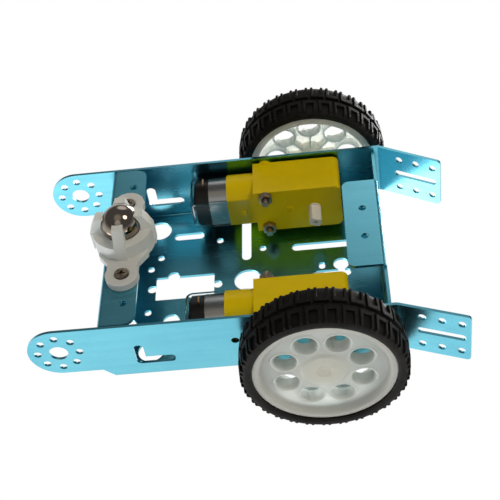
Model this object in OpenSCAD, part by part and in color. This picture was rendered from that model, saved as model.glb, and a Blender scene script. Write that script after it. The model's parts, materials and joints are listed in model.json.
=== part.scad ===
// Two wheel robot car: a folded sheet tray, two gear motors, two wheels and a ball caster.
// The car stands on its wheels and ball. Up is +Z and the front, the ball end, faces -Y.
// All sizes are in millimetres.

/* [Tray] */
// Outside length of the tray between its end walls
tray_length = 113.6; // [105:0.1:125]
// Outside width of the tray
tray_width = 91; // [85:0.5:110]
// Full height of the folded side walls, deck included
wall_height = 30; // [28:0.5:36]
// Thickness of the aluminium sheet
sheet_t = 1.2; // [1:0.1:1.5]
// Outside radius of every fold
fold_r = 1.8; // [1.6:0.1:2.4]
// Width of the folded lips at the ends
lip_width = 15; // [12:0.5:18]
// Height of the front arms and the rear tabs
arm_height = 24.7; // [24:0.1:26]
// Distance from the front wall to the centre of each arm's round end
arm_centre = 17.4; // [15:0.1:24]
// Length of the rear tabs past their bend
tab_length = 27.9; // [27:0.1:36]
// Outward bend of the right tab, degrees
right_tab_bend = 20; // [0:1:30]
// Inward bend of the left tab, degrees
left_tab_bend = 28; // [0:1:30]

/* [Wheels] */
// Diameter of the tyre over the tread
tyre_d = 65; // [65:0.5:70]
// Width of the tyre
tyre_w = 17.4; // [16:0.1:22]
// Diameter of the rim's flanges
rim_d = 54.8; // [52:0.1:56]
// Number of tread lugs in each row
tread_count = 30; // [20:1:36]
// Diameter of the eight round openings in the rim
rim_hole_d = 8.6; // [6:0.1:9]

/* [Motors] */
// Distance from the front wall to the wheel axle
axle_from_front = 86.4; // [84:0.1:90]
// Length of the gearbox without its neck and ear
gearbox_length = 37; // [36.5:0.1:38]
// Height of the gearbox
gearbox_height = 22.5; // [22.4:0.1:23]
// Diameter of the output shaft
shaft_d = 5.4; // [5.3:0.05:5.45]
// Distance across the flats of the output shaft
shaft_flats = 3.7; // [3.5:0.05:4]

/* [Caster] */
// Diameter of the steel ball
ball_d = 16; // [15.8:0.1:16.2]
// Distance between the two caster screws
caster_pitch = 40; // [38:0.5:42]

/* [Hidden] */
$fn = 64;
axle_z = tyre_d / 2;
gearbox_thick = 18.8;
boss_h = 1.1;
axle_to_end = 11.6;
hole_pitch = 17.5;
hole_back = 20.3;
deck_low = axle_z + 15.7;
deck_top = deck_low + sheet_t;
wall_low = deck_top - wall_height;
half_w = tray_width / 2;
in_r = fold_r - sheet_t;
bend_back = 1.5;
bend_step = 0.9;
bend_rise = bend_step * cos(right_tab_bend / 2) + sheet_t / 2 * sin(right_tab_bend);
rear_reach = tray_length + bend_back + bend_rise + tab_length * cos(right_tab_bend);
arm_r = arm_height / 2;
front_y = round((arm_centre + arm_r - rear_reach) * 50) / 100;
back_y = front_y + tray_length;
arm_y = front_y - arm_centre;
arm_z = wall_low + arm_r;
axle_y = front_y + axle_from_front;
box_x = -half_w + sheet_t + boss_h + 0.05;
box_front = axle_y + axle_to_end - gearbox_length;
box_back = axle_y + axle_to_end;
motor_x = box_x + gearbox_thick / 2;
screw_y = axle_y - hole_back;
peg_y = axle_y - 11;
neck_front = box_front - 11.6;
can_front = neck_front - 8;
cap_front = can_front - 6.1;
idler_y = axle_y - 9.3;
crown_y = idler_y - 7.2;
caster_y = front_y + 8.9;
ball_z = ball_d / 2;
hole_r = 1.6;

// ---------- small helpers ----------

// A straight round bar along X between two X positions.
module rod_x(x1, x2, r, y, z) {
  translate([x1, y, z])
    rotate([0, 90, 0])
      cylinder(r = r, h = x2 - x1);
}

// A flat outline drawn as (Y, Z), thickened along X.
module plate_x(x1, x2) {
  translate([x1, 0, 0])
    rotate([90, 0, 90])
      linear_extrude(height = x2 - x1)
        children();
}

// A box given by its two corners.
module block(a, b) {
  translate(a)
    cube([b[0] - a[0], b[1] - a[1], b[2] - a[2]]);
}

// A quarter of a ring, used for the folds; it fills the first quadrant.
module fold_quarter(r_out, r_in) {
  intersection() {
    difference() {
      circle(r = r_out);
      circle(r = r_in);
    }
    square([r_out, r_out]);
  }
}

// A round ended slot as a flat outline from point a to point b.
module slot_2d(a, b, r) {
  run = norm([b[0] - a[0], b[1] - a[1]]);
  turn = atan2(b[1] - a[1], b[0] - a[0]);
  translate(a)
    circle(r = r);
  translate(b)
    circle(r = r);
  translate(a)
    rotate(turn)
      translate([0, -r])
        square([run, 2 * r]);
}

// Moves a node built for the right side over to the left side.
module left_side() {
  mirror([1, 0, 0])
    children();
}

// Turns a wheel piece round the axle by half the spacing of the rim's openings.
module half_pitch_on() {
  translate([0, axle_y, axle_z])
    rotate([22.5, 0, 0])
      translate([0, -axle_y, -axle_z])
        children();
}

// ---------- chassis ----------

// Cross section of the deck and both side walls, drawn as (X, Z).
module channel_section() {
  flat = half_w - fold_r;
  translate([-flat, deck_low])
    square([2 * flat, sheet_t]);
  for (s = [-1, 1])
    translate([s * flat, deck_top - fold_r])
      scale([s, 1])
        fold_quarter(fold_r, in_r);
  for (s = [-1, 1])
    translate([s * (half_w - sheet_t / 2), (wall_low + deck_top - fold_r) / 2])
      square([sheet_t, deck_top - fold_r - wall_low], center = true);
}

// One end of the deck folded down and then inward, drawn as (distance inward, Z).
module end_section() {
  translate([fold_r, deck_top - fold_r])
    scale([-1, 1])
      fold_quarter(fold_r, in_r);
  translate([0, wall_low + fold_r])
    square([sheet_t, wall_height - 2 * fold_r]);
  translate([fold_r, wall_low + fold_r])
    scale([-1, -1])
      fold_quarter(fold_r, in_r);
}

// The deck and side walls between the two end folds.
module channel() {
  translate([0, back_y - fold_r, 0])
    rotate([90, 0, 0])
      linear_extrude(height = tray_length - 2 * fold_r)
        channel_section();
}

// An end wall with its folds; dir is 1 at the front and -1 at the back.
module end_wall(dir) {
  wide = half_w - sheet_t - 0.3;
  at = dir > 0 ? front_y : back_y;
  translate([0, at, 0])
    plate_x(-wide, wide)
      scale([dir, 1])
        end_section();
}

// A lip with rounded free corners; x1 and x2 are its ends.
module lip(dir, x1, x2, r) {
  at = dir > 0 ? front_y : back_y;
  near = at + dir * fold_r;
  far = at + dir * lip_width;
  lo = min(near, far - dir * r);
  hi = max(near, far - dir * r);
  block([x1, lo, wall_low], [x2, hi, wall_low + sheet_t]);
  block([x1 + r, min(far - dir * r, far), wall_low], [x2 - r, max(far - dir * r, far), wall_low + sheet_t]);
  for (x = [x1 + r, x2 - r])
    translate([x, far - dir * r, wall_low])
      cylinder(r = r, h = sheet_t);
}

// Outline of a front arm with its round end and the sloped step up to the deck, as (Y, Z).
module arm_outline() {
  top = wall_low + arm_height;
  translate([arm_y, arm_z])
    circle(r = arm_r);
  translate([arm_y, wall_low])
    square([front_y + fold_r - arm_y, arm_height]);
  polygon([[front_y - 2.2, top], [front_y + fold_r, top],
    [front_y + fold_r, deck_top - fold_r], [front_y + 1.5, deck_top - fold_r]]);
}

// The eight small holes and the centre hole of an arm's round end, as (Y, Z).
module arm_holes() {
  translate([arm_y, arm_z])
    circle(r = 3.85);
  for (i = [0 : 7])
    translate([arm_y + 8.4 * cos(45 * i), arm_z + 8.4 * sin(45 * i)])
      circle(r = hole_r);
}

// The L shaped slot of a side wall, as (Y, Z).
module corner_slot() {
  slot_2d([front_y + 14.2, deck_low - 8.2], [front_y + 26, deck_low - 8.2], 2);
  slot_2d([front_y + 14.2, deck_low - 8.2], [front_y + 14.2, deck_low - 15.3], 2);
}

// Holes where the gear motor sits on its side wall, as (Y, Z).
module motor_holes() {
  translate([axle_y, axle_z])
    circle(r = 4);
  translate([peg_y, axle_z])
    circle(r = 2.2);
  for (s = [-1, 1])
    translate([screw_y, axle_z + s * hole_pitch / 2])
      circle(r = hole_r);
  translate([front_y + 52.5, axle_z])
    circle(r = hole_r);
}

// Cross section of the rear strip, its two step bend and the tab, as (X, Y) for the right side.
module tab_section(angle) {
  h = sheet_t / 2;
  side_x = -half_w + h;
  m = h / cos(angle / 4);
  n1 = [m * cos(angle / 4), m * sin(angle / 4)];
  n2 = [m * cos(angle * 3 / 4), m * sin(angle * 3 / 4)];
  n3 = [h * cos(angle), h * sin(angle)];
  q1 = [side_x, back_y + bend_back];
  q2 = [q1[0] - bend_step * sin(angle / 2), q1[1] + bend_step * cos(angle / 2)];
  q3 = [q2[0] - tab_length * sin(angle), q2[1] + tab_length * cos(angle)];
  start = back_y - fold_r;
  polygon([[side_x - h, start], q1 - n1, q2 - n2, q3 - n3,
    q3 + n3, q2 + n2, q1 + n1, [side_x + h, start]]);
}

// Places its children in the frame of a right tab: the sheet lies along +Y about x = 0.
module on_tab(angle) {
  translate([-half_w + sheet_t / 2 - bend_step * sin(angle / 2),
    back_y + bend_back + bend_step * cos(angle / 2), 0])
    rotate([0, 0, angle])
      children();
}

// A side wall past the tray: front arm, rear strip, bend and tab, for the right side.
module wall_ends(angle) {
  top = wall_low + arm_height;
  plate_x(-half_w, -half_w + sheet_t)
    arm_outline();
  difference() {
    translate([0, 0, wall_low])
      linear_extrude(height = arm_height)
        tab_section(angle);
    on_tab(angle) {
      plate_x(-2, 2) {
        for (i = [0 : 2])
          for (s = [-1, 1])
            translate([9.2 + 7.6 * i, arm_z + s * 7.7])
              circle(r = hole_r);
        slot_2d([8.8, arm_z], [24.6, arm_z], 1.6);
      }
      // rounded free corners
      for (s = [-1, 1])
        plate_x(-2, 2)
          translate([tab_length - 1.5, arm_z + s * (arm_height / 2 - 1.5)])
            difference() {
              translate([0, s > 0 ? 0 : -3])
                square([3, 3]);
              circle(r = 1.5);
            }
    }
  }
}

// Openings through the deck, drawn as (X, Y).
module deck_openings() {
  f = front_y;
  // servo opening with its two screw nubs and cable notch
  translate([-7.2, f + 16])
    square([12.9, 25.2]);
  translate([-0.7, f + 14.5])
    circle(r = 2);
  translate([-0.7, f + 42.7])
    circle(r = 2);
  translate([5.7, f + 23.5])
    circle(r = 2.6);
  // large round holes
  for (s = [-1, 1])
    translate([s * 34.4, f + 15.9])
      circle(r = 5.4);
  translate([0.2, f + 55.7])
    circle(r = 5.9);
  translate([5, f + 95.5])
    circle(r = 3.3);
  translate([-19.2, f + 23.5])
    circle(r = 3.5);
  translate([-19.6, f + 5.6])
    circle(r = 3.2);
  // slots
  for (s = [-1, 1]) {
    slot_2d([s * 29.4, f + 24.9], [s * 29.4, f + 34.3], 1.95);
    slot_2d([s * 14, f + 55.1], [s * 38, f + 55.1], 2.05);
    slot_2d([s * 16.9, f + 76.9], [s * 16.9, f + 101], 2);
  }
  slot_2d([0, f + 86], [0, f + 97.5], 2);
  slot_2d([4.3, f + 87.4], [5.4, f + 87.4], 1.35);
  // small round holes
  for (p = [[25, 43.4], [17.3, 17.5], [10.9, 13.4], [-13.8, 13.3], [18, 62.3]])
    translate([p[0], f + p[1]])
      circle(r = 1.5);
}

// Holes through the folded lips, drawn as (X, Y).
module lip_holes() {
  for (s = [-1, 1]) {
    translate([s * caster_pitch / 2, caster_y])
      circle(r = hole_r);
    translate([s * 33.2, front_y + 9.7])
      circle(r = 1.5);
    translate([s * 8, back_y - 7.4])
      circle(r = 1.5);
  }
}

module chassis() {
  color("#3b9cc4")
    difference() {
      union() {
        channel();
        end_wall(1);
        end_wall(-1);
        block([-half_w + sheet_t + 0.3, front_y + fold_r - 0.01, deck_low],
          [half_w - sheet_t - 0.3, front_y + fold_r + 3, deck_top]);
        lip(1, -half_w + sheet_t + 0.3, half_w - sheet_t - 0.3, 5);
        lip(-1, -24, 24.4, 3);
        wall_ends(right_tab_bend);
        left_side()
          wall_ends(-left_tab_bend);
      }
      plate_x(-half_w - 1, half_w + 1) {
        arm_holes();
        corner_slot();
        motor_holes();
      }
      // the back lip only spans the middle; its fold is cut away on both sides
      for (s = [-1, 1])
        block([s > 0 ? 24.4 : -half_w + sheet_t, back_y - fold_r - 0.5, wall_low - 1],
          [s > 0 ? half_w - sheet_t : -24, back_y + 1, wall_low + fold_r]);
      translate([0, 0, deck_low - 1])
        linear_extrude(height = sheet_t + 2)
          deck_openings();
      translate([0, 0, wall_low - 1])
        linear_extrude(height = sheet_t + 2)
          lip_holes();
    }
}

// ---------- gearbox ----------

// Outline of the gearbox as (Y, Z), moved inward by d; rounded at its back end.
module box_outline(d) {
  h = gearbox_height / 2 - d;
  r = 3 - d;
  translate([box_front + d, axle_z - h])
    square([gearbox_length - 2 * d - r, 2 * h]);
  translate([box_back - d - r, axle_z - h + r])
    square([r, 2 * h - 2 * r]);
  for (s = [-1, 1])
    translate([box_back - d - r, axle_z + s * (h - r)])
      circle(r = r);
}

// Outline of the motor's flat sided can, drawn as (X, Z) about its centre.
module can_outline(r, w) {
  intersection() {
    circle(r = r);
    square([w, 2 * r + 1], center = true);
  }
}

// A can shaped bar along Y.
module can_bar(y1, y2, r, w) {
  translate([motor_x, y2, axle_z])
    rotate([90, 0, 0])
      linear_extrude(height = y2 - y1)
        can_outline(r, w);
}

// Space inside the gearbox for the gears and the motor.
module box_space() {
  plate_x(box_x + 1.3, box_x + gearbox_thick - 1.3)
    box_outline(1.3);
  can_bar(neck_front - 1, box_front - 0.9, 10.15, 15.2);
  translate([motor_x, box_front + 1.4, axle_z])
    rotate([90, 0, 0])
      cylinder(r = 3.1, h = 4);
}

// The whole gearbox with its round backed neck as one solid.
module box_solid() {
  plate_x(box_x, box_x + gearbox_thick)
    box_outline(0);
  can_bar(neck_front, box_front + 0.5, 10.8, 16.4);
}

// Bores shared by both halves: two screws, the shaft, and the two arbors.
module box_bores() {
  for (s = [-1, 1])
    rod_x(box_x - 3, box_x + gearbox_thick + 3, 1.55, screw_y, axle_z + s * hole_pitch / 2);
  rod_x(box_x - 3, box_x + gearbox_thick + 3, shaft_d / 2 + 0.05, axle_y, axle_z);
  for (y = [idler_y, crown_y])
    rod_x(box_x + 0.6, box_x + gearbox_thick - 0.6, 0.78, y, axle_z);
}

module right_gearbox_outer() {
  color("#e3b412")
    difference() {
      union() {
        difference() {
          intersection() {
            box_solid();
            block([box_x - 1, neck_front - 1, 0], [motor_x, box_back + 1, 60]);
          }
          box_space();
        }
        for (s = [-1, 1])
          rod_x(box_x + 1, motor_x, 2.2, screw_y, axle_z + s * hole_pitch / 2);
        rod_x(box_x + 1, box_x + 2.8, 4.2, axle_y, axle_z);
        rod_x(box_x + 1, box_x + 2.4, 1.9, idler_y, axle_z);
        rod_x(box_x + 1, box_x + 7.3, 1.9, crown_y, axle_z);
        // bosses that stand on the side wall round the two screws
        for (s = [-1, 1])
          rod_x(box_x - boss_h, box_x + 1, 2.9, screw_y, axle_z + s * hole_pitch / 2);
        // locating peg that sits in the side wall
        rod_x(box_x - boss_h - 1.15, box_x + 1, 2, peg_y, axle_z);
        // lug that holds the clear strap
        block([motor_x - 9.3, box_front - 6, axle_z - 1.5], [motor_x - 8, box_front - 4, axle_z + 1.5]);
      }
      box_bores();
    }
}

module right_gearbox_inner() {
  far_x = box_x + gearbox_thick;
  color("#e3b412")
    difference() {
      union() {
        difference() {
          intersection() {
            box_solid();
            block([motor_x, neck_front - 1, 0], [far_x + 1, box_back + 1, 60]);
          }
          box_space();
        }
        for (s = [-1, 1])
          rod_x(motor_x, far_x - 1, 2.2, screw_y, axle_z + s * hole_pitch / 2);
        rod_x(box_x + 10.3, far_x - 1, 4.2, axle_y, axle_z);
        rod_x(box_x + 10.6, far_x - 1, 1.5, idler_y, axle_z);
        rod_x(box_x + 14.3, far_x - 1, 1.5, crown_y, axle_z);
        // raised ring opposite the locating peg
        difference() {
          rod_x(far_x - 0.5, far_x + 0.5, 2, peg_y, axle_z);
          rod_x(far_x, far_x + 1, 1.1, peg_y, axle_z);
        }
        block([motor_x + 8, box_front - 6, axle_z - 1.5], [motor_x + 9.3, box_front - 4, axle_z + 1.5]);
      }
      box_bores();
    }
}

// A toothed disc along X; teeth are plain bars round the root circle.
module gear_x(x1, x2, tip_r, root_r, teeth, tooth_w) {
  rod_at = [x1, 0, 0];
  translate(rod_at)
    rotate([0, 90, 0])
      linear_extrude(height = x2 - x1) {
        circle(r = root_r);
        for (i = [0 : teeth - 1])
          rotate(i * 360 / teeth)
            translate([0, -tooth_w / 2])
              square([tip_r, tooth_w]);
      }
}

module right_output_shaft() {
  tip = box_x - 9.1;
  far_tip = box_x + gearbox_thick + 9.1;
  color("#f1efe6")
    difference() {
      union() {
        rod_x(tip, far_tip, shaft_d / 2, axle_y, axle_z);
        rod_x(box_x + 3.1, box_x + 7.8, 3.9, axle_y, axle_z);
        translate([0, axle_y, axle_z])
          gear_x(box_x + 3.1, box_x + 6.6, 7.05, 6.2, 24, 0.8);
      }
      for (s = [-1, 1]) {
        block([tip - 1, axle_y - 4, s > 0 ? axle_z + shaft_flats / 2 : axle_z - 4],
          [box_x - 0.6, axle_y + 4, s > 0 ? axle_z + 4 : axle_z - shaft_flats / 2]);
        block([far_tip - 8.4, axle_y - 4, s > 0 ? axle_z + shaft_flats / 2 : axle_z - 4],
          [far_tip + 1, axle_y + 4, s > 0 ? axle_z + 4 : axle_z - shaft_flats / 2]);
      }
      // screw pilot in each end
      rod_x(tip - 1, tip + 6, 0.9, axle_y, axle_z);
      rod_x(far_tip - 6, far_tip + 1, 0.9, axle_y, axle_z);
    }
}

module right_idler_gear() {
  color("#e9e6dc")
    difference() {
      translate([0, idler_y, axle_z]) {
        gear_x(box_x + 2.7, box_x + 8.2, 1.9, 1.5, 7, 0.7);
        gear_x(box_x + 8, box_x + 9.6, 5.7, 5.2, 32, 0.45);
        rod_x(box_x + 9, box_x + 10.3, 1.9, 0, 0);
      }
      rod_x(box_x, box_x + gearbox_thick, 0.8, idler_y, axle_z);
    }
}

module right_crown_gear() {
  color("#e9e6dc")
    difference() {
      union() {
        translate([0, crown_y, axle_z]) {
          gear_x(box_x + 7.6, box_x + 11.5, 1.35, 1.15, 8, 0.4);
          rod_x(box_x + 11.6, box_x + 13, 5.3, 0, 0);
          rod_x(box_x + 11, box_x + 14, 1.8, 0, 0);
        }
        // teeth standing up from the disc towards the motor pinion
        for (i = [0 : 27])
          translate([box_x + 11.1, crown_y, axle_z])
            rotate([i * 360 / 28, 0, 0])
              translate([0, 4.4, -0.28])
                cube([0.6, 0.85, 0.56]);
      }
      rod_x(box_x, box_x + gearbox_thick, 0.8, crown_y, axle_z);
    }
}

module right_arbor_pins() {
  color("#b9bcc0")
    for (y = [idler_y, crown_y])
      rod_x(box_x + 0.65, box_x + gearbox_thick - 0.65, 0.75, y, axle_z);
}

// ---------- motor ----------

// A straight round bar along Y on the motor's axis.
module rod_y(y1, y2, r) {
  translate([motor_x, y1, axle_z])
    rotate([-90, 0, 0])
      cylinder(r = r, h = y2 - y1);
}

module right_motor_pinion() {
  color("#e8e4d8")
    difference() {
      translate([motor_x, crown_y - 3.6, axle_z])
        rotate([90, 0, 0])
          linear_extrude(height = 3.2) {
            circle(r = 1.25);
            for (i = [0 : 7])
              rotate(i * 45)
                translate([0, -0.2])
                  square([1.5, 0.4]);
          }
      rod_y(crown_y - 8, crown_y, 1);
    }
}

module right_motor_rotor() {
  color("#8d8a86") {
    rod_y(cap_front - 1, crown_y - 3.6, 1);
    difference() {
      rod_y(can_front + 3.4, can_front + 14, 6.3);
      for (i = [0 : 2])
        translate([motor_x, 0, axle_z])
          rotate([0, 120 * i, 0])
            block([3.2, can_front + 2, -0.9], [8, can_front + 16, 0.9]);
    }
    rod_y(can_front - 1.5, can_front + 3.5, 2.3);
  }
}

module right_motor_can() {
  back = box_front - 1;
  color("#a9abad")
    difference() {
      union() {
        can_bar(can_front, back, 10.05, 15);
        rod_y(back - 0.5, back + 1.4, 3);
      }
      can_bar(can_front - 1, back - 0.6, 9.45, 13.8);
      rod_y(back - 2, back + 3, 1.05);
    }
}

module right_motor_magnets() {
  color("#4a4a4c")
    for (s = [-1, 1])
      difference() {
        intersection() {
          can_bar(can_front + 3, can_front + 15, 9.35, 13.4);
          block([motor_x - 8, 0 + front_y, s > 0 ? axle_z + 3.4 : axle_z - 12],
            [motor_x + 8, back_y, s > 0 ? axle_z + 12 : axle_z - 3.4]);
        }
        rod_y(can_front, can_front + 18, 6.9);
      }
}

module right_motor_end_cap() {
  color("#1b1b1d")
    difference() {
      union() {
        can_bar(cap_front + 0.8, can_front - 0.02, 9.9, 14.8);
        can_bar(cap_front, cap_front + 1, 9, 13.6);
        rod_y(cap_front - 1.1, cap_front + 1, 3.1);
      }
      can_bar(cap_front + 2, can_front + 1, 8.9, 13);
      rod_y(cap_front - 2, cap_front + 3, 1.05);
      // slots the terminals stand in
      for (s = [-1, 1])
        block([motor_x - 1.6, can_front - 2.2, s > 0 ? axle_z + 7 : axle_z - 12],
          [motor_x + 1.6, can_front - 1.4, s > 0 ? axle_z + 12 : axle_z - 7]);
    }
}

module right_motor_terminals() {
  color("#b4793c")
    for (s = [-1, 1])
      difference() {
        block([motor_x - 1.5, can_front - 2.1, s > 0 ? axle_z + 7.6 : axle_z - 12.4],
          [motor_x + 1.5, can_front - 1.5, s > 0 ? axle_z + 12.4 : axle_z - 7.6]);
        translate([motor_x, can_front - 1, axle_z + s * 11.2])
          rotate([90, 0, 0])
            cylinder(r = 0.6, h = 2);
      }
}

// Outline of the clear strap as (X, Y), wrapped round the back of the motor.
module strap_outline(w, y, r) {
  top = box_front - 2.4;
  translate([motor_x - w, y + r])
    square([2 * w, top - y - r]);
  translate([motor_x - w + r, y])
    square([2 * w - 2 * r, r + 0.1]);
  for (s = [-1, 1])
    translate([motor_x + s * (w - r), y + r])
      circle(r = r);
}

module right_motor_strap() {
  color([0.85, 0.92, 0.95, 0.45])
    difference() {
      translate([0, 0, axle_z - 6.5])
        linear_extrude(height = 13)
          difference() {
            strap_outline(9.1, cap_front - 2, 3);
            translate([0, 0.9])
              strap_outline(8.25, cap_front - 2, 2.2);
            translate([motor_x - 8.25, box_front - 4])
              square([16.5, 4]);
          }
      // windows for the two lugs
      block([motor_x - 12, box_front - 6.3, axle_z - 1.8], [motor_x + 12, box_front - 3.7, axle_z + 1.8]);
    }
}

// ---------- fixings ----------

// A pan head screw pointing along +Z with its head below z = 0.
module pan_screw(length, head_r, head_h, shank_r) {
  difference() {
    union() {
      cylinder(r = shank_r, h = length);
      translate([0, 0, -head_h])
        cylinder(r = head_r, h = head_h);
    }
    for (a = [0, 90])
      rotate([0, 0, a])
        translate([-1.6, -0.35, -head_h - 1])
          cube([3.2, 0.7, 2]);
  }
}

// A hexagon nut standing on z = 0.
module hex_nut(across, h, bore_r) {
  difference() {
    cylinder(d = across / cos(30), h = h, $fn = 6);
    translate([0, 0, -1])
      cylinder(r = bore_r, h = h + 2);
  }
}

module right_motor_screws() {
  color("#b8b4ac")
    for (s = [-1, 1])
      translate([-half_w - 0.03, screw_y, axle_z + s * hole_pitch / 2])
        rotate([0, 90, 0])
          pan_screw(26, 2.75, 2, 1.45);
}

module right_motor_nuts() {
  color("#b8b4ac")
    for (s = [-1, 1])
      translate([box_x + gearbox_thick + 0.02, screw_y, axle_z + s * hole_pitch / 2])
        rotate([0, 90, 0])
          hex_nut(5.5, 2.3, 1.48);
}

// ---------- wheels ----------

// Turns a profile drawn as (radius, distance out from the wall) round the axle.
module wheel_turn() {
  translate([-half_w, axle_y, axle_z])
    rotate([0, -90, 0])
      rotate_extrude($fn = 96)
        children();
}

module right_rim() {
  color("#e9ebe6")
    difference() {
      union() {
        wheel_turn()
          polygon([[24.2, 4.7], [rim_d / 2, 4.7], [rim_d / 2, 6.1], [25.5, 6.4], [25.5, 18.8],
            [rim_d / 2, 19.1], [rim_d / 2, 20.2], [25.2, 20.2], [24.2, 19.2]]);
        rod_x(-half_w - 18, -half_w - 16.2, 24.4, axle_y, axle_z);
        rod_x(-half_w - 18.7, -half_w - 17.8, 7.4, axle_y, axle_z);
        rod_x(-half_w - 17, -half_w - 2.6, 5.2, axle_y, axle_z);
        for (i = [0 : 7])
          rod_x(-half_w - 17, -half_w - 13.6, rim_hole_d / 2 + 1, axle_y + 15.7 * cos(22.5 + 45 * i),
            axle_z + 15.7 * sin(22.5 + 45 * i));
        for (i = [0 : 7])
          translate([-half_w - 17, axle_y, axle_z])
            rotate([22.5 + 45 * i, 0, 0])
              translate([0, 4, -0.6])
                cube([5, 7.5, 1.2]);
      }
      for (i = [0 : 7])
        rod_x(-half_w - 19, -half_w - 13, rim_hole_d / 2, axle_y + 15.7 * cos(22.5 + 45 * i),
          axle_z + 15.7 * sin(22.5 + 45 * i));
      // flat sided socket for the output shaft
      intersection() {
        rod_x(-half_w - 9.2, -half_w, shaft_d / 2 + 0.04, axle_y, axle_z);
        block([-half_w - 10, axle_y - 5, axle_z - shaft_flats / 2 - 0.04],
          [-half_w, axle_y + 5, axle_z + shaft_flats / 2 + 0.04]);
      }
    }
}

// The narrow gap after one lug and the wide slot that splits the lug into two legs.
module tread_cuts(row, half, r) {
  gap = PI * tyre_d / tread_count - 5.7;
  translate([row > 0 ? 0.8 : -half - 1, r - 1.4, -gap / 2])
    cube([half + 0.2, 3, gap]);
  rotate([180 / tread_count, 0, 0])
    translate([row > 0 ? 3.2 : -half - 1, r - 1.4, -1.65])
      cube([half - 2.2, 3, 3.3]);
}

module right_tyre() {
  mid = 12.6;
  half = tyre_w / 2;
  r = tyre_d / 2;
  color("#1e1d1b")
    difference() {
      wheel_turn()
        polygon([[25.55, mid - 6.1], [rim_d / 2 + 0.1, mid - 6.4], [rim_d / 2 + 0.1, mid - half + 0.6],
          [28.4, mid - half], [30.4, mid - half], [r - 0.9, mid - half + 0.9], [r, mid - half + 2.4],
          [r, mid - 1], [r - 1.5, mid - 1], [r - 1.5, mid + 1], [r, mid + 1],
          [r, mid + half - 2.4], [r - 0.9, mid + half - 0.9], [30.4, mid + half], [28.4, mid + half],
          [rim_d / 2 + 0.1, mid + half - 0.6], [rim_d / 2 + 0.1, mid + 6.4], [25.55, mid + 6.1]]);
      for (i = [0 : tread_count - 1], row = [-1, 1])
        translate([-half_w - mid, axle_y, axle_z])
          rotate([(i + row / 4) * 360 / tread_count, 0, 0])
            tread_cuts(row, half, r);
    }
}

// ---------- caster ----------

// One claw with the rib it grows from, drawn as (radius, Z) and 4.4 thick.
module claw() {
  rotate([90, 0, 0])
    translate([0, 0, -2.2])
      linear_extrude(height = 4.4)
        polygon([[4, ball_z - 5.2], [9.6, ball_z - 5.2], [12.9, ball_z + 2],
          [12.9, wall_low - 0.5], [4, wall_low - 0.5]]);
}

module caster_body() {
  low = wall_low - 3;
  half_pitch = caster_pitch / 2;
  color("#e4e0d6")
    translate([0, caster_y, 0])
      difference() {
        union() {
          for (s = [-1, 1])
            translate([s * half_pitch, 0, low])
              cylinder(r = 6.7, h = 3);
          block([-half_pitch, -6.2, low], [half_pitch, 6.2, wall_low]);
          translate([0, 0, low])
            linear_extrude(height = 3)
              polygon([[14.5, 6], [9, 10], [-9, 10], [-14.5, 6],
                [-14.5, -6], [-9, -10], [9, -10], [14.5, -6]]);
          translate([0, 0, ball_z + 2.3])
            cylinder(r = 12.2, h = wall_low - ball_z - 2.3);
          for (i = [0 : 3])
            rotate([0, 0, 90 * i])
              claw();
        }
        translate([0, 0, ball_z])
          sphere(r = ball_d / 2 + 0.3);
        for (s = [-1, 1]) {
          translate([s * half_pitch, 0, low - 1])
            cylinder(r = hole_r, h = 6);
          translate([s * half_pitch, 0, low - 1])
            cylinder(r = 3.2, h = 2.2);
        }
      }
}

module caster_ball() {
  color("#c9ccd0")
    translate([0, caster_y, ball_z])
      sphere(r = ball_d / 2);
}

module caster_screws() {
  color("#b8b4ac")
    for (s = [-1, 1])
      translate([s * caster_pitch / 2, caster_y, wall_low - 1.8])
        pan_screw(8, 2.75, 1.8, 1.45);
}

module caster_nuts() {
  color("#b8b4ac")
    for (s = [-1, 1])
      translate([s * caster_pitch / 2, caster_y, wall_low + sheet_t + 0.02])
        hex_nut(5.5, 2.3, 1.48);
}

// ---------- left side copies ----------

module left_gearbox_outer() { left_side() right_gearbox_outer(); }
module left_gearbox_inner() { left_side() right_gearbox_inner(); }
module left_output_shaft() { left_side() half_pitch_on() right_output_shaft(); }
module left_idler_gear() { left_side() right_idler_gear(); }
module left_crown_gear() { left_side() right_crown_gear(); }
module left_arbor_pins() { left_side() right_arbor_pins(); }
module left_motor_pinion() { left_side() right_motor_pinion(); }
module left_motor_rotor() { left_side() right_motor_rotor(); }
module left_motor_can() { left_side() right_motor_can(); }
module left_motor_magnets() { left_side() right_motor_magnets(); }
module left_motor_end_cap() { left_side() right_motor_end_cap(); }
module left_motor_terminals() { left_side() right_motor_terminals(); }
module left_motor_strap() { left_side() right_motor_strap(); }
module left_motor_screws() { left_side() right_motor_screws(); }
module left_motor_nuts() { left_side() right_motor_nuts(); }
module left_tyre() { left_side() right_tyre(); }

// The left rim and its shaft stand half a hole spacing round from the right ones.
module left_rim() { left_side() half_pitch_on() right_rim(); }

chassis();
right_gearbox_outer();
right_gearbox_inner();
right_output_shaft();
right_idler_gear();
right_crown_gear();
right_arbor_pins();
right_motor_pinion();
right_motor_rotor();
right_motor_can();
right_motor_magnets();
right_motor_end_cap();
right_motor_terminals();
right_motor_strap();
right_motor_screws();
right_motor_nuts();
right_rim();
right_tyre();
left_gearbox_outer();
left_gearbox_inner();
left_output_shaft();
left_idler_gear();
left_crown_gear();
left_arbor_pins();
left_motor_pinion();
left_motor_rotor();
left_motor_can();
left_motor_magnets();
left_motor_end_cap();
left_motor_terminals();
left_motor_strap();
left_motor_screws();
left_motor_nuts();
left_rim();
left_tyre();
caster_body();
caster_ball();
caster_screws();
caster_nuts();
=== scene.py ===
import json
import math

import bmesh
import bpy
from mathutils import Matrix, Vector


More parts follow.
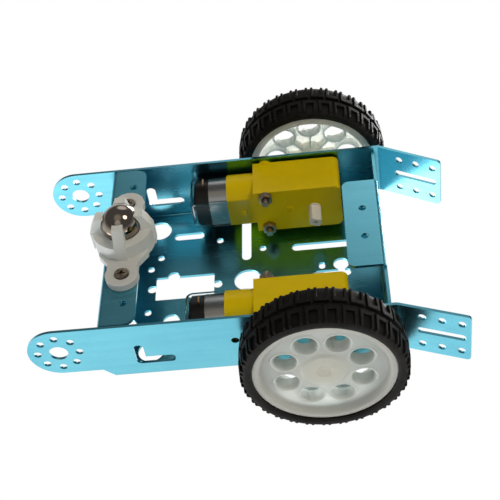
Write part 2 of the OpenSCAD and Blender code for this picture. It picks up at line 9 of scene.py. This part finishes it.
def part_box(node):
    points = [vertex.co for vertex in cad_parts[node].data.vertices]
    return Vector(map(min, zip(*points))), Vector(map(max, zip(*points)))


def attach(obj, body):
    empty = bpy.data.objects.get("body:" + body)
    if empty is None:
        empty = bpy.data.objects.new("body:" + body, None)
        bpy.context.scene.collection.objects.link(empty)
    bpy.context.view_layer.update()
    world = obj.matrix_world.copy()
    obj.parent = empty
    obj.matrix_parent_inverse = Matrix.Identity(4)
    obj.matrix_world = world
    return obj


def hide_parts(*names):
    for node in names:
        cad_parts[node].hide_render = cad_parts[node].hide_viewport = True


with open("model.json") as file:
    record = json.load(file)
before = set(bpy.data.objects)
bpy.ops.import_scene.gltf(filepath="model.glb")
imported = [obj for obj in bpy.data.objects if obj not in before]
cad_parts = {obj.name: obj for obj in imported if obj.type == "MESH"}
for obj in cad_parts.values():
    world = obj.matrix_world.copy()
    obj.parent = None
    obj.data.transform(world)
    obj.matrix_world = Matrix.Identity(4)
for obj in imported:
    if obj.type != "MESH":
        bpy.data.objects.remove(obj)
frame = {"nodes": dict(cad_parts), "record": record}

RECORD = frame["record"]
BODY = {n: b for b, ns in RECORD["behaviour"]["bodies"].items() for n in ns}
SLOT = {p["node"]: p["material_slot"] for p in RECORD["subparts"]}
MM = 0.001


def middle(node):
    lo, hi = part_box(node)
    return (lo + hi) / 2


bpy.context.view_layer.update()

# ---------- procedural materials ----------

# places of the colour sockets of a mix node
COLOUR_A = 6
COLOUR_B = 7
COLOUR_OUT = 2
NOISE_ROUGHNESS = 0.55
# cosine between a face and the rounded edge beside it, on a sharp edge and on a flat
EDGE_COSINES = (0.86, 0.995)
# share of open sky, deep in a recess and in the open, between which the painted shade fades
OPEN_SHARES = (0.35, 0.85)
WEAR_REACH = 0.3 * MM

SHEET_DEEP = (0.128, 0.475, 0.605, 1)
SHEET_PALE = (0.160, 0.535, 0.655, 1)
SHEET_WORN = (0.20, 0.42, 0.50, 1)
# colour of the painted shade deep in holes and recesses
SHEET_PAINTED_SHADE = (0.02, 0.10, 0.14, 1)
RUBBER_DEEP = (0.006, 0.0056, 0.005, 1)
RUBBER_PALE = (0.014, 0.013, 0.0115, 1)
RUBBER_WORN = (0.034, 0.031, 0.028, 1)
# colours of a rim from the axle (0) outwards to RIM_REACH (1), with painted light in them: warm at the
# hub for the yellow gearbox showing through, cool round the openings for the blue sheet showing
# through, and darker at 0.82 for painted shade in the dish's valley
RIM_REACH = 28 * MM
RIM_PAINTED_TINTS = [(0.0, (0.88, 0.84, 0.70, 1)), (0.27, (0.90, 0.88, 0.78, 1)),
             (0.42, (0.82, 0.87, 0.85, 1)), (0.72, (0.83, 0.87, 0.85, 1)),
             (0.82, (0.74, 0.77, 0.74, 1)), (0.90, (0.87, 0.87, 0.79, 1))]
RIM_CLOUDS = [(0.3, (0.80, 0.82, 0.78, 1)), (0.7, (0.94, 0.95, 0.91, 1))]
RIM_CLOUD_SHARE = 0.25
RIM_GLOW = (0.94, 0.94, 0.91, 1)
RIM_GLOW_SHARE = 0.6
STRAP_CLOUDS = [(0.3, (0.86, 0.92, 0.93, 1)), (0.7, (0.95, 0.98, 0.98, 1))]


def scaled(rgb, k):
    return tuple(max(0.0, min(1.0, c * k)) for c in rgb) + (1.0,)


class Shader:
    """Builds one node material step by step."""

    def __init__(self, name):
        self.mat = bpy.data.materials.new(name)
        self.mat.use_nodes = True
        self.nt = self.mat.node_tree
        self.bsdf = self.nt.nodes["Principled BSDF"]
        self.coord = self.add("ShaderNodeTexCoord")
        self.where = self.coord.outputs["Object"]

    def add(self, kind, **values):
        node = self.nt.nodes.new(kind)
        for key, value in values.items():
            setattr(node, key, value)
        return node

    def link(self, a, b):
        self.nt.links.new(a, b)

    def set(self, **values):
        names = {"coat": "Coat Weight", "coat_rough": "Coat Roughness", "ior": "IOR",
                 "metal": "Metallic", "through": "Transmission Weight",
                 "specular": "Specular IOR Level"}
        for key, value in values.items():
            self.bsdf.inputs[names[key]].default_value = value

    def noise(self, scale, detail, stretch=(1, 1, 1)):
        """Cloudy noise, with clouds about 10 mm wide at a scale of 100."""
        mapping = self.add("ShaderNodeMapping")
        mapping.inputs["Scale"].default_value = stretch
        self.link(self.where, mapping.inputs["Vector"])
        node = self.add("ShaderNodeTexNoise")
        node.inputs["Scale"].default_value = scale
        node.inputs["Detail"].default_value = detail
        node.inputs["Roughness"].default_value = NOISE_ROUGHNESS
        self.link(mapping.outputs["Vector"], node.inputs["Vector"])
        return node.outputs["Fac"]

    def spread(self, value, low, high, a=0.3, b=0.7):
        """Takes a value that runs from a to b to one that runs from low to high."""
        node = self.add("ShaderNodeMapRange")
        node.inputs["From Min"].default_value = a
        node.inputs["From Max"].default_value = b
        node.inputs["To Min"].default_value = low
        node.inputs["To Max"].default_value = high
        self.link(value, node.inputs["Value"])
        return node.outputs["Result"]

    def ramp(self, value, stops):
        node = self.add("ShaderNodeValToRGB")
        ramp = node.color_ramp
        while len(ramp.elements) < len(stops):
            ramp.elements.new(0.5)
        for element, (at, rgba) in zip(ramp.elements, stops):
            element.position = at
            element.color = rgba
        self.link(value, node.inputs["Fac"])
        return node.outputs["Color"]

    def mix(self, factor, a, b):
        node = self.add("ShaderNodeMix", data_type="RGBA")
        if isinstance(factor, float):
            node.inputs["Factor"].default_value = factor
        else:
            self.link(factor, node.inputs["Factor"])
        for socket, value in ((node.inputs[COLOUR_A], a), (node.inputs[COLOUR_B], b)):
            if isinstance(value, tuple):
                socket.default_value = value
            else:
                self.link(value, socket)
        return node.outputs[COLOUR_OUT]

    def colour(self, socket):
        self.link(socket, self.bsdf.inputs["Base Color"])

    def rough(self, socket):
        self.link(socket, self.bsdf.inputs["Roughness"])

    def bump(self, height, strength, distance):
        node = self.add("ShaderNodeBump")
        node.inputs["Strength"].default_value = strength
        node.inputs["Distance"].default_value = distance
        self.link(height, node.inputs["Height"])
        self.link(node.outputs["Normal"], self.bsdf.inputs["Normal"])

    def edges(self, radius):
        """1 on sharp edges and 0 on flats."""
        soft = self.add("ShaderNodeBevel", samples=4)
        soft.inputs["Radius"].default_value = radius
        geo = self.add("ShaderNodeNewGeometry")
        dot = self.add("ShaderNodeVectorMath", operation="DOT_PRODUCT")
        self.link(soft.outputs["Normal"], dot.inputs[0])
        self.link(geo.outputs["Normal"], dot.inputs[1])
        return self.spread(dot.outputs["Value"], 1.0, 0.0, *EDGE_COSINES)

    def hollows(self, reach):
        """Mask for painted shade: 1 deep in recesses and 0 in the open."""
        open_sky = self.add("ShaderNodeAmbientOcclusion", samples=6)
        open_sky.inputs["Distance"].default_value = reach
        return self.spread(open_sky.outputs["AO"], 1.0, 0.0, *OPEN_SHARES)

    def glow(self, tint, share):
        """Lets a share of the light fall through, as milky plastic does."""
        through = self.add("ShaderNodeBsdfTranslucent")
        through.inputs["Color"].default_value = tint
        both = self.add("ShaderNodeMixShader")
        both.inputs["Fac"].default_value = share
        self.link(self.bsdf.outputs["BSDF"], both.inputs[1])
        self.link(through.outputs["BSDF"], both.inputs[2])
        self.link(both.outputs["Shader"], self.nt.nodes["Material Output"].inputs["Surface"])


def toned(s, rgb, scale, vary):
    """Slow patches a little darker and lighter than the colour."""
    return s.ramp(s.noise(scale, 4), [(0.3, scaled(rgb, 1 - vary)), (0.7, scaled(rgb, 1 + vary))])


def moulded(name, rgb, rough, vary, glow=0.0, **extra):
    """Moulded plastic: slow flow marks in its colour, uneven gloss and a fine skin."""
    s = Shader(name)
    s.colour(toned(s, rgb, 45, vary))
    s.rough(s.spread(s.noise(160, 5), rough - 0.06, rough + 0.08))
    s.bump(s.noise(900, 4), 0.25, 0.04 * MM)
    s.set(**extra)
    if glow:
        s.glow(scaled(rgb, 1), glow)
    return s.mat


def metal(name, rgb, rough, vary, stretch=(1, 1, 1), recess_shade_reach=0.0):
    """Plated or turned metal: tone patches, drawn marks, uneven polish and, if asked, painted shade in
    recesses.
    """
    s = Shader(name)
    tone = toned(s, rgb, 70, vary)
    # painted shade: deep in recesses the colour falls to a twenty-fifth of itself
    s.colour(s.mix(s.hollows(recess_shade_reach), tone, scaled(rgb, 0.04)) if recess_shade_reach else tone)
    s.rough(s.spread(s.noise(220, 5, stretch), rough - 0.05, rough + 0.08))
    s.bump(s.noise(1500, 3, stretch), 0.2, 0.02 * MM)
    s.set(metal=1.0)
    return s.mat


def blue_sheet():
    """Anodised sheet: rolled grain along the tray, tone patches, worn edges and painted shade in
    hollows.
    """
    s = Shader("anodised_sheet")
    tone = s.noise(22, 4)
    grain = s.noise(500, 3, (1, 0.04, 1))
    both = s.add("ShaderNodeMath", operation="ADD")
    s.link(s.spread(tone, 0.0, 0.7), both.inputs[0])
    s.link(s.spread(grain, 0.0, 0.3), both.inputs[1])
    blue = s.ramp(both.outputs["Value"], [(0.2, SHEET_DEEP), (0.8, SHEET_PALE)])
    worn = s.mix(s.spread(s.edges(WEAR_REACH), 0.0, 0.30, 0, 1), blue, SHEET_WORN)
    # painted shade: the sheet darkens deep in hollows and holes
    s.colour(s.mix(s.hollows(3 * MM), worn, SHEET_PAINTED_SHADE))
    s.rough(s.spread(s.noise(300, 4, (1, 0.1, 1)), 0.225, 0.285))
    s.bump(grain, 0.015, 0.02 * MM)
    s.set(metal=1.0, coat=0.3, coat_rough=0.2)
    return s.mat


def rubber():
    """Black rubber: chalky patches, a scuffed skin and fine pitting."""
    s = Shader("tyre_rubber")
    base = s.ramp(s.noise(90, 5), [(0.3, RUBBER_DEEP), (0.75, RUBBER_PALE)])
    s.colour(s.mix(s.spread(s.edges(WEAR_REACH), 0.0, 0.5, 0, 1), base, RUBBER_WORN))
    s.rough(s.spread(s.noise(400, 4), 0.48, 0.68))
    s.bump(s.noise(2200, 4), 0.35, 0.06 * MM)
    s.set(specular=0.12)
    return s.mat


def milky():
    """Milky see-through plastic of the rims, with painted light: warmer at the hub and cooler round
    the openings for the gearbox and sheet showing through, and painted shade in the dish.
    """
    s = Shader("rim_plastic")
    mid = middle("right_rim")
    shift = s.add("ShaderNodeVectorMath", operation="SUBTRACT")
    shift.inputs[1].default_value = (0, mid.y, mid.z)
    flat = s.add("ShaderNodeVectorMath", operation="MULTIPLY")
    flat.inputs[1].default_value = (0, 1, 1)
    far = s.add("ShaderNodeVectorMath", operation="LENGTH")
    s.link(s.where, shift.inputs[0])
    s.link(shift.outputs["Vector"], flat.inputs[0])
    s.link(flat.outputs["Vector"], far.inputs[0])
    # painted light and shade: tints by distance from the axle
    painted_tints = s.ramp(s.spread(far.outputs["Value"], 0.0, 1.0, 0.0, RIM_REACH), RIM_PAINTED_TINTS)
    s.colour(s.mix(RIM_CLOUD_SHARE, painted_tints, s.ramp(s.noise(60, 4), RIM_CLOUDS)))
    s.rough(s.spread(s.noise(180, 4), 0.24, 0.36))
    s.bump(s.noise(1200, 3), 0.12, 0.03 * MM)
    s.set(ior=1.46, coat=0.1, coat_rough=0.2)
    s.glow(RIM_GLOW, RIM_GLOW_SHARE)
    return s.mat


def clear():
    """Clear plastic of the motor straps, faintly cold and uneven."""
    s = Shader("clear_strap")
    s.colour(s.ramp(s.noise(80, 3), STRAP_CLOUDS))
    s.rough(s.spread(s.noise(260, 4), 0.03, 0.12))
    s.bump(s.noise(500, 3), 0.2, 0.06 * MM)
    s.set(through=1.0, ior=1.16)
    return s.mat


MATERIALS = {
    "blue_sheet": blue_sheet(),
    "white_nylon": moulded("caster_nylon", (0.96, 0.98, 0.95), 0.36, 0.02, glow=0.3),
    "ball_steel": metal("ball_steel", (0.28, 0.24, 0.20), 0.06, 0.12),
    # screws and nuts get painted shade in their recesses
    "fixing_steel": metal("plated_steel", (0.44, 0.35, 0.26), 0.26, 0.18, recess_shade_reach=1.4 * MM),
    "yellow_plastic": moulded("yellow_plastic", (0.84, 0.62, 0.0), 0.32, 0.05, specular=0.12),
    "gear_nylon": moulded("gear_nylon", (0.82, 0.80, 0.74), 0.40, 0.05),
    "rotor_steel": metal("rotor_steel", (0.42, 0.36, 0.30), 0.35, 0.15, (1, 12, 1)),
    "can_steel": metal("motor_can_steel", (0.29, 0.295, 0.29), 0.24, 0.08, (1, 0.05, 1)),
    "magnet": moulded("ferrite", (0.06, 0.06, 0.065), 0.6, 0.2),
    "black_plastic": moulded("black_plastic", (0.006, 0.006, 0.007), 0.32, 0.25, specular=0.25),
    "terminal_brass": metal("terminal_brass", (0.62, 0.38, 0.20), 0.30, 0.12),
    "clear_plastic": clear(),
    "rim_plastic": milky(),
    "tyre_rubber": rubber(),
}

# ---------- mesh helpers ----------


def new_object(name, mesh):
    obj = bpy.data.objects.new(name, mesh)
    bpy.context.scene.collection.objects.link(obj)
    return obj


def from_bmesh(name, bm):
    mesh = bpy.data.meshes.new(name)
    bmesh.ops.recalc_face_normals(bm, faces=bm.faces)
    bm.to_mesh(mesh)
    bm.free()
    return new_object(name, mesh)


def bake(obj):
    """Applies every modifier to the mesh."""
    graph = bpy.context.evaluated_depsgraph_get()
    mesh = bpy.data.meshes.new_from_object(obj.evaluated_get(graph))
    obj.modifiers.clear()
    obj.data = mesh


def settle(obj, bevel=0.0, segments=2, limit=30, sharp=40):
    """Rounds edges sharper than a limit in degrees, bakes the mesh and shades it smooth."""
    if bevel:
        mod = obj.modifiers.new("soft_edges", "BEVEL")
        mod.width = bevel
        mod.segments = segments
        mod.limit_method = "ANGLE"
        mod.angle_limit = math.radians(limit)
    bake(obj)
    obj.data.shade_smooth()
    obj.data.set_sharp_from_angle(angle=math.radians(sharp))
    if bevel:
        mod = obj.modifiers.new("even_shading", "WEIGHTED_NORMAL")
        mod.keep_sharp = True
        mod.weight = 100
        bake(obj)
    return obj


def paint(obj, node):
    """Gives an object the material of its CAD node."""
    obj.data.materials.clear()
    obj.data.materials.append(MATERIALS[SLOT[node]])


def place(obj, node):
    """The piece rides on the body of its CAD node and takes the node's material."""
    paint(obj, node)
    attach(obj, BODY[node])


MERGE_REACH = 0.002 * MM
FLAT_WITHIN = math.radians(1)


def refined(node, name, bevel, segments=2):
    """A copy of a CAD node's surface with its flats made whole and its edges rounded."""
    bm = bmesh.new()
    bm.from_mesh(frame["nodes"][node].data)
    bmesh.ops.remove_doubles(bm, verts=bm.verts, dist=MERGE_REACH)
    bmesh.ops.dissolve_limit(bm, angle_limit=FLAT_WITHIN, verts=bm.verts, edges=bm.edges)
    mesh = bpy.data.meshes.new(name)
    bm.to_mesh(mesh)
    bm.free()
    # the stored normals belong to the old triangles
    old = mesh.attributes.get("custom_normal")
    if old:
        mesh.attributes.remove(old)
    obj = settle(new_object(name, mesh), bevel, segments)
    place(obj, node)
    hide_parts(node)


def polar(centre, along, radius, angle):
    """A point at a distance along X and an angle round the axle through the centre."""
    return (centre.x + along, centre.y + radius * math.cos(angle), centre.z + radius * math.sin(angle))


def turned(bm, profile, count, centre, out):
    """Turns a closed profile of (radius, distance along X) round the wheel axle."""
    rings = []
    for i in range(count):
        a = 2 * math.pi * i / count
        rings.append([bm.verts.new(polar(centre, out * x, r, a)) for r, x in profile])
    for i in range(count):
        a, b = rings[i], rings[(i + 1) % count]
        for j in range(len(profile)):
            k = (j + 1) % len(profile)
            bm.faces.new((a[j], a[k], b[k], b[j]))


CORNER_STEPS = 2
CORNER_SHARE = 0.45


def rounded(points, radius):
    """Rounds the corners of a closed outline, each over no more than a share of its sides."""
    out = []
    count = len(points)
    for i in range(count):
        p = Vector(points[i])
        a = Vector(points[i - 1]) - p
        b = Vector(points[(i + 1) % count]) - p
        cut = min(radius, a.length * CORNER_SHARE, b.length * CORNER_SHARE)
        s, e = p + a.normalized() * cut, p + b.normalized() * cut
        for j in range(CORNER_STEPS + 1):
            t = j / CORNER_STEPS
            out.append(tuple((1 - t) ** 2 * s + 2 * t * (1 - t) * p + t * t * e))
    return out


# ---------- wheels ----------

LUG_COUNT = 30
TYRE_STEPS = 180
# half the width in mm of the section that follows
CARCASS_HALF = 8.7
# section of the tyre in mm, from bead to bead: radius and distance from the middle
CARCASS = [(25.6, -6.0), (27.5, -6.3), (27.5, -8.1), (28.2, -8.6), (29.6, -8.7), (30.7, -8.4),
           (31.0, -7.7), (31.2, -6.0), (31.3, -1.3), (30.9, -1.0), (30.9, 0.0), (30.9, 1.0),
           (31.3, 1.3), (31.2, 6.0), (31.0, 7.7), (30.7, 8.4), (29.6, 8.7), (28.2, 8.6),
           (27.5, 8.1), (27.5, 6.3), (25.6, 6.0)]
# one lug in mm, a bar beside the middle groove with two legs towards the shoulder: distance
# from the tyre's middle on top, the same at the foot, and distance round the tyre
LUG = [(1.1, 1.0, -2.8), (7.9, 8.65, -2.75), (7.9, 8.65, -1.65), (3.0, 2.9, -1.65),
       (3.0, 2.9, 1.65), (7.9, 8.65, 1.65), (7.9, 8.65, 2.75), (1.1, 1.0, 2.8)]
LUG_FOOT = 30.2 * MM
LUG_BEVEL = 0.16 * MM
# how far the tread falls away at 1 mm from the middle, which grows with the square
CROWN_FALL = 0.008 * MM
# the two rows of lugs, and where each one starts as a share of the pitch
ROWS = ((-1, 0.75), (1, 0.25))


def lug(bm, centre, radius, turn, across):
    """One lug, from a foot inside the carcass to the top of the tread."""
    low, high = [], []
    for top, foot, round_tyre in LUG:
        angle = turn + round_tyre * MM / radius
        low.append(bm.verts.new(polar(centre, across * foot, LUG_FOOT, angle)))
        high.append(bm.verts.new(polar(centre, across * top, radius - CROWN_FALL * top * top, angle)))
    bm.faces.new(high)
    bm.faces.new(low)
    for j in range(len(LUG)):
        n = (j + 1) % len(LUG)
        bm.faces.new((low[j], low[n], high[n], high[j]))


def tyre(side, out):
    """A smooth carcass and, as a second piece, its two rows of lugs."""
    node = side + "_tyre"
    lo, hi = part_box(node)
    centre = (lo + hi) / 2
    radius = (hi.z - lo.z) / 2
    stretch = (hi.x - lo.x) / 2 / CARCASS_HALF
    bm = bmesh.new()
    turned(bm, [(r * MM, x * stretch) for r, x in CARCASS], TYRE_STEPS, centre, out)
    base = from_bmesh("tyre_base_" + side, bm)
    bm = bmesh.new()
    for row, start in ROWS:
        for i in range(LUG_COUNT):
            turn = 2 * math.pi * (i + start) / LUG_COUNT
            lug(bm, centre, radius, turn, out * row * stretch)
    lugs = from_bmesh("tyre_lugs_" + side, bm)
    settle(base)
    settle(lugs, LUG_BEVEL, segments=1, limit=35)
    for piece in (base, lugs):
        place(piece, node)
    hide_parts(node)


OPENING_COUNT = 8
OPENING_CIRCLE = 15.7 * MM
RIM_STEPS = 160
OPENING_STEPS = 40
HUB_STEPS = 48
# where the rim's inner end lies in the profiles below
RIM_START = 2.6 * MM


def at(r, x):
    """A point of a rim profile, from its radius and distance outwards in mm."""
    return (r * MM, x * MM - RIM_START)


BARREL = [at(24.3, 4.7), at(27.4, 4.7), at(27.4, 6.1), at(25.5, 6.4), at(25.5, 18.8),
          at(27.4, 19.1), at(27.4, 19.9), at(26.9, 20.2), at(25.2, 20.2), at(24.3, 18.9),
          at(23.6, 17.6), at(22.6, 17.3), at(9.2, 17.9), at(8.0, 18.7), at(3.2, 18.7),
          at(2.6, 18.2), at(0.01, 18.2), at(0.01, 16.2), at(9.2, 16.2), at(22.8, 15.9),
          at(24.3, 15.2)]
OPENING = [at(4.7, 14), at(4.7, 21), at(0.001, 21), at(0.001, 14)]
COLLAR = [at(4.3, 12.6), at(5.3, 12.6), at(5.35, 16.3), at(5.6, 17.0), at(5.6, 17.9),
          at(5.1, 18.0), at(4.6, 17.4), at(4.3, 16.6)]
# the tube that takes the motor shaft
HUB = [at(2.75, 2.6), at(5.2, 2.6), at(5.2, 16.6), at(2.75, 16.6)]
# ends of a rib in mm: outwards, from the axle, and to both sides of its middle
RIB_OUT = (12.0, 16.4)
RIB_REACH = (5.0, 11.2)
RIB_HALF = (-0.35, 0.35)
BOX_FACES = ((0, 1, 3, 2), (4, 6, 7, 5), (0, 4, 5, 1), (2, 3, 7, 6), (0, 2, 6, 4), (1, 5, 7, 3))


def rib(bm, wall, out, angle):
    """A thin rib between hub and openings, on the hidden side of the disc."""
    corner = []
    for x in RIB_OUT:
        for r in RIB_REACH:
            for w in RIB_HALF:
                corner.append(bm.verts.new((
                    wall.x + out * (x * MM - RIM_START),
                    wall.y + (r * math.cos(angle) - w * math.sin(angle)) * MM,
                    wall.z + (r * math.sin(angle) + w * math.cos(angle)) * MM)))
    for face in BOX_FACES:
        bm.faces.new([corner[j] for j in face])


def rim(side, out, first):
    """A rim with its openings cut and, as a second piece, its collars, hub and ribs."""
    node = side + "_rim"
    lo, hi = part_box(node)
    mid = (lo + hi) / 2
    wall = Vector((hi.x if out < 0 else lo.x, mid.y, mid.z))
    angles = [math.radians(first) + 2 * math.pi / OPENING_COUNT * i for i in range(OPENING_COUNT)]
    bm = bmesh.new()
    turned(bm, rounded(BARREL, 0.5 * MM), RIM_STEPS, wall, out)
    body = from_bmesh("rim_body_" + side, bm)
    cut = bmesh.new()
    inside = bmesh.new()
    for angle in angles:
        centre = Vector(polar(wall, 0.0, OPENING_CIRCLE, angle))
        turned(cut, OPENING, OPENING_STEPS, centre, out)
        turned(inside, rounded(COLLAR, 0.3 * MM), OPENING_STEPS, centre, out)
    turned(inside, rounded(HUB, 0.3 * MM), HUB_STEPS, wall, out)
    for angle in angles:
        rib(inside, wall, out, angle)
    cutter = from_bmesh("rim_cutter_" + side, cut)
    mod = body.modifiers.new("openings", "BOOLEAN")
    mod.operation = "DIFFERENCE"
    mod.solver = "EXACT"
    mod.object = cutter
    settle(body, sharp=50)
    bpy.data.objects.remove(cutter)
    collars = settle(from_bmesh("rim_collars_" + side, inside), sharp=50)
    for piece in (body, collars):
        place(piece, node)
    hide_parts(node)


# side, its way outwards along X, and the angle of its rim's first opening in degrees
for side, out, first in (("right", -1, 22.5), ("left", 1, 0.0)):
    tyre(side, out)
    rim(side, out, first)

# ---------- tray, motors, caster ----------

# of each motor: end of the CAD node's name, start of the piece's name, rounding in mm
MOTOR_PIECES = (
    ("gearbox_outer", "gearbox_outer", 0.3),
    ("gearbox_inner", "gearbox_inner", 0.3),
    ("motor_can", "motor_can", 0.3),
    ("motor_end_cap", "motor_cap", 0.3),
    ("motor_strap", "motor_strap", 0.2),
    ("motor_terminals", "motor_terminals", 0.1),
    ("motor_screws", "motor_screws", 0.2),
    ("motor_nuts", "motor_nuts", 0.2),
    ("output_shaft", "output_shaft", 0.15),
)

refined("chassis", "sheet_tray", 0.16 * MM)
for side in ("right", "left"):
    for part, name, bevel in MOTOR_PIECES:
        refined(side + "_" + part, name + "_" + side, bevel * MM)
refined("caster_body", "caster_frame", 0.9 * MM, 4)
refined("caster_screws", "caster_screw_pair", 0.2 * MM)
refined("caster_nuts", "caster_nut_pair", 0.2 * MM)


def ball():
    lo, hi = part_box("caster_ball")
    bm = bmesh.new()
    bmesh.ops.create_icosphere(bm, subdivisions=5, radius=(hi.x - lo.x) / 2,
                               matrix=Matrix.Translation((lo + hi) / 2))
    obj = settle(from_bmesh("steel_ball", bm))
    place(obj, "caster_ball")
    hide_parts("caster_ball")


ball()

for name, cad in frame["nodes"].items():
    paint(cad, name)

# ---------- floor, light and camera ----------

FLOOR_HALF = 3.0
FLOOR_DROP = 0.3 * MM
SHADOW_REACH = 60 * MM


def make_floor():
    """A pale floor with a soft shadow, which only the camera sees and only from above."""
    bm = bmesh.new()
    bmesh.ops.create_grid(bm, x_segments=2, y_segments=2, size=FLOOR_HALF)
    for v in bm.verts:
        v.co.z = -FLOOR_DROP
    obj = from_bmesh("pale_floor", bm)
    for p in obj.data.polygons:
        if p.normal.z < 0:
            p.flip()
    mat = bpy.data.materials.new("pale_floor")
    mat.use_nodes = True
    nt = mat.node_tree
    nt.nodes.clear()
    out = nt.nodes.new("ShaderNodeOutputMaterial")
    shine = nt.nodes.new("ShaderNodeEmission")
    gone = nt.nodes.new("ShaderNodeBsdfTransparent")
    mix = nt.nodes.new("ShaderNodeMixShader")
    path = nt.nodes.new("ShaderNodeLightPath")
    geo = nt.nodes.new("ShaderNodeNewGeometry")
    front = nt.nodes.new("ShaderNodeMath")
    front.operation = "SUBTRACT"
    front.use_clamp = True
    shade = nt.nodes.new("ShaderNodeAmbientOcclusion")
    shade.inputs["Distance"].default_value = SHADOW_REACH
    shade.samples = 8
    ramp = nt.nodes.new("ShaderNodeValToRGB")
    ramp.color_ramp.elements[0].color = (0.30, 0.31, 0.32, 1)
    ramp.color_ramp.elements[1].color = (0.86, 0.87, 0.88, 1)
    ramp.color_ramp.elements[0].position = 0.1
    nt.links.new(shade.outputs["AO"], ramp.inputs["Fac"])
    nt.links.new(ramp.outputs["Color"], shine.inputs["Color"])
    nt.links.new(path.outputs["Is Camera Ray"], front.inputs[0])
    nt.links.new(geo.outputs["Backfacing"], front.inputs[1])
    nt.links.new(front.outputs["Value"], mix.inputs["Fac"])
    nt.links.new(gone.outputs["BSDF"], mix.inputs[1])
    nt.links.new(shine.outputs["Emission"], mix.inputs[2])
    nt.links.new(mix.outputs["Shader"], out.inputs["Surface"])
    obj.data.materials.append(mat)


make_floor()

# the camera, which looks up at the underside: its place, two of its axes and its lens
CAM_AT = Vector((-0.3341, 0.0437, -0.3140))
CAM_SIDEWAYS = Vector((-0.0035, 0.9925, 0.1225)).normalized()
CAM_BACK = Vector((-0.6942, 0.0858, -0.7147)).normalized()
FILM_WIDTH = 36.0
FOCAL_LENGTH = 83.83


def make_camera():
    data = bpy.data.cameras.new("camera")
    cam = bpy.data.objects.new("camera", data)
    bpy.context.scene.collection.objects.link(cam)
    up = CAM_BACK.cross(CAM_SIDEWAYS).normalized()
    right = up.cross(CAM_BACK)
    place_in_room = Matrix((right, up, CAM_BACK)).transposed().to_4x4()
    place_in_room.translation = CAM_AT
    cam.matrix_world = place_in_room
    data.sensor_width = FILM_WIDTH
    data.lens = FOCAL_LENGTH
    data.clip_start = 0.01
    data.clip_end = 20.0
    bpy.context.scene.camera = cam


make_camera()

MIDDLE = Vector((0, 0, 30 * MM))
LAMP_SIZE = 0.4


def area(name, offset, power):
    """A square lamp that shines on the car from an offset to its middle."""
    data = bpy.data.lights.new(name, "AREA")
    data.shape = "SQUARE"
    data.size = LAMP_SIZE
    data.energy = power
    obj = bpy.data.objects.new(name, data)
    spot = MIDDLE + Vector(offset)
    obj.location = spot
    obj.rotation_mode = "QUATERNION"
    obj.rotation_quaternion = (MIDDLE - spot).to_track_quat("-Z", "Y")
    bpy.context.scene.collection.objects.link(obj)


area("soft_side_light", (-0.75, 0.55, 0.35), 1.0)
area("back_light", (0.60, 0.25, 0.18), 8.0)

# soft lamps of the surroundings: direction, strength, and the cosines of edge and full core
WHITE_LAMPS = (
    ((0.86, 0.12, -0.50), 1.2, 0.93, 0.990),
    ((-0.69, -0.12, -0.71), 0.6, 0.93, 0.985),
    ((-0.27, -0.66, 0.70), 3.6, 0.93, 0.985),
    ((-0.80, -0.25, 0.55), 1.05, 0.972, 0.994),
)
WARM_LAMPS = (
    ((-0.085, 0.564, -0.816), 9.0, 0.978, 0.990),
    ((-0.2, -0.1, -0.97), 0.35, 0.90, 0.99),
)
WHITE = (1, 1, 1, 1)
WARM = (1, 0.86, 0.70, 1)
# strength of the surroundings below and above the car, and the cosines between which it changes
ROOM = (0.15, 1.0, -0.30, 0.30)


def make_world():
    """Lights the car from all round, and shows plain white to the camera."""
    world = bpy.data.worlds.new("studio")
    bpy.context.scene.world = world
    world.use_nodes = True
    nt = world.node_tree
    nt.nodes.clear()
    out = nt.nodes.new("ShaderNodeOutputWorld")
    coord = nt.nodes.new("ShaderNodeTexCoord")

    def towards(direction, low, high, edge, core):
        dot = nt.nodes.new("ShaderNodeVectorMath")
        dot.operation = "DOT_PRODUCT"
        dot.inputs[1].default_value = direction
        nt.links.new(coord.outputs["Generated"], dot.inputs[0])
        node = nt.nodes.new("ShaderNodeMapRange")
        node.interpolation_type = "SMOOTHSTEP"
        for key, value in (("From Min", edge), ("From Max", core), ("To Min", low), ("To Max", high)):
            node.inputs[key].default_value = value
        nt.links.new(dot.outputs["Value"], node.inputs["Value"])
        return node.outputs["Result"]

    def added(first, second):
        node = nt.nodes.new("ShaderNodeMath")
        node.operation = "ADD"
        nt.links.new(first, node.inputs[0])
        nt.links.new(second, node.inputs[1])
        return node.outputs["Value"]

    def shine(strength, tint):
        node = nt.nodes.new("ShaderNodeBackground")
        node.inputs["Color"].default_value = tint
        nt.links.new(strength, node.inputs["Strength"])
        return node.outputs["Background"]

    def lamps(rows):
        total = None
        for direction, strength, edge, core in rows:
            lobe = towards(Vector(direction).normalized(), 0.0, strength, edge, core)
            total = added(total, lobe) if total else lobe
        return total

    def both(kind, first, second):
        node = nt.nodes.new(kind)
        nt.links.new(first, node.inputs[-2])
        nt.links.new(second, node.inputs[-1])
        return node

    room = added(towards((0, 0, 1), *ROOM), lamps(WHITE_LAMPS))
    lit = both("ShaderNodeAddShader", shine(room, WHITE), shine(lamps(WARM_LAMPS), WARM))
    seen = nt.nodes.new("ShaderNodeBackground")
    seen.inputs["Color"].default_value = WHITE
    mix = both("ShaderNodeMixShader", lit.outputs["Shader"], seen.outputs["Background"])
    path = nt.nodes.new("ShaderNodeLightPath")
    nt.links.new(path.outputs["Is Camera Ray"], mix.inputs["Fac"])
    nt.links.new(mix.outputs["Shader"], out.inputs["Surface"])


make_world()
bpy.context.scene.view_settings.view_transform = "Standard"
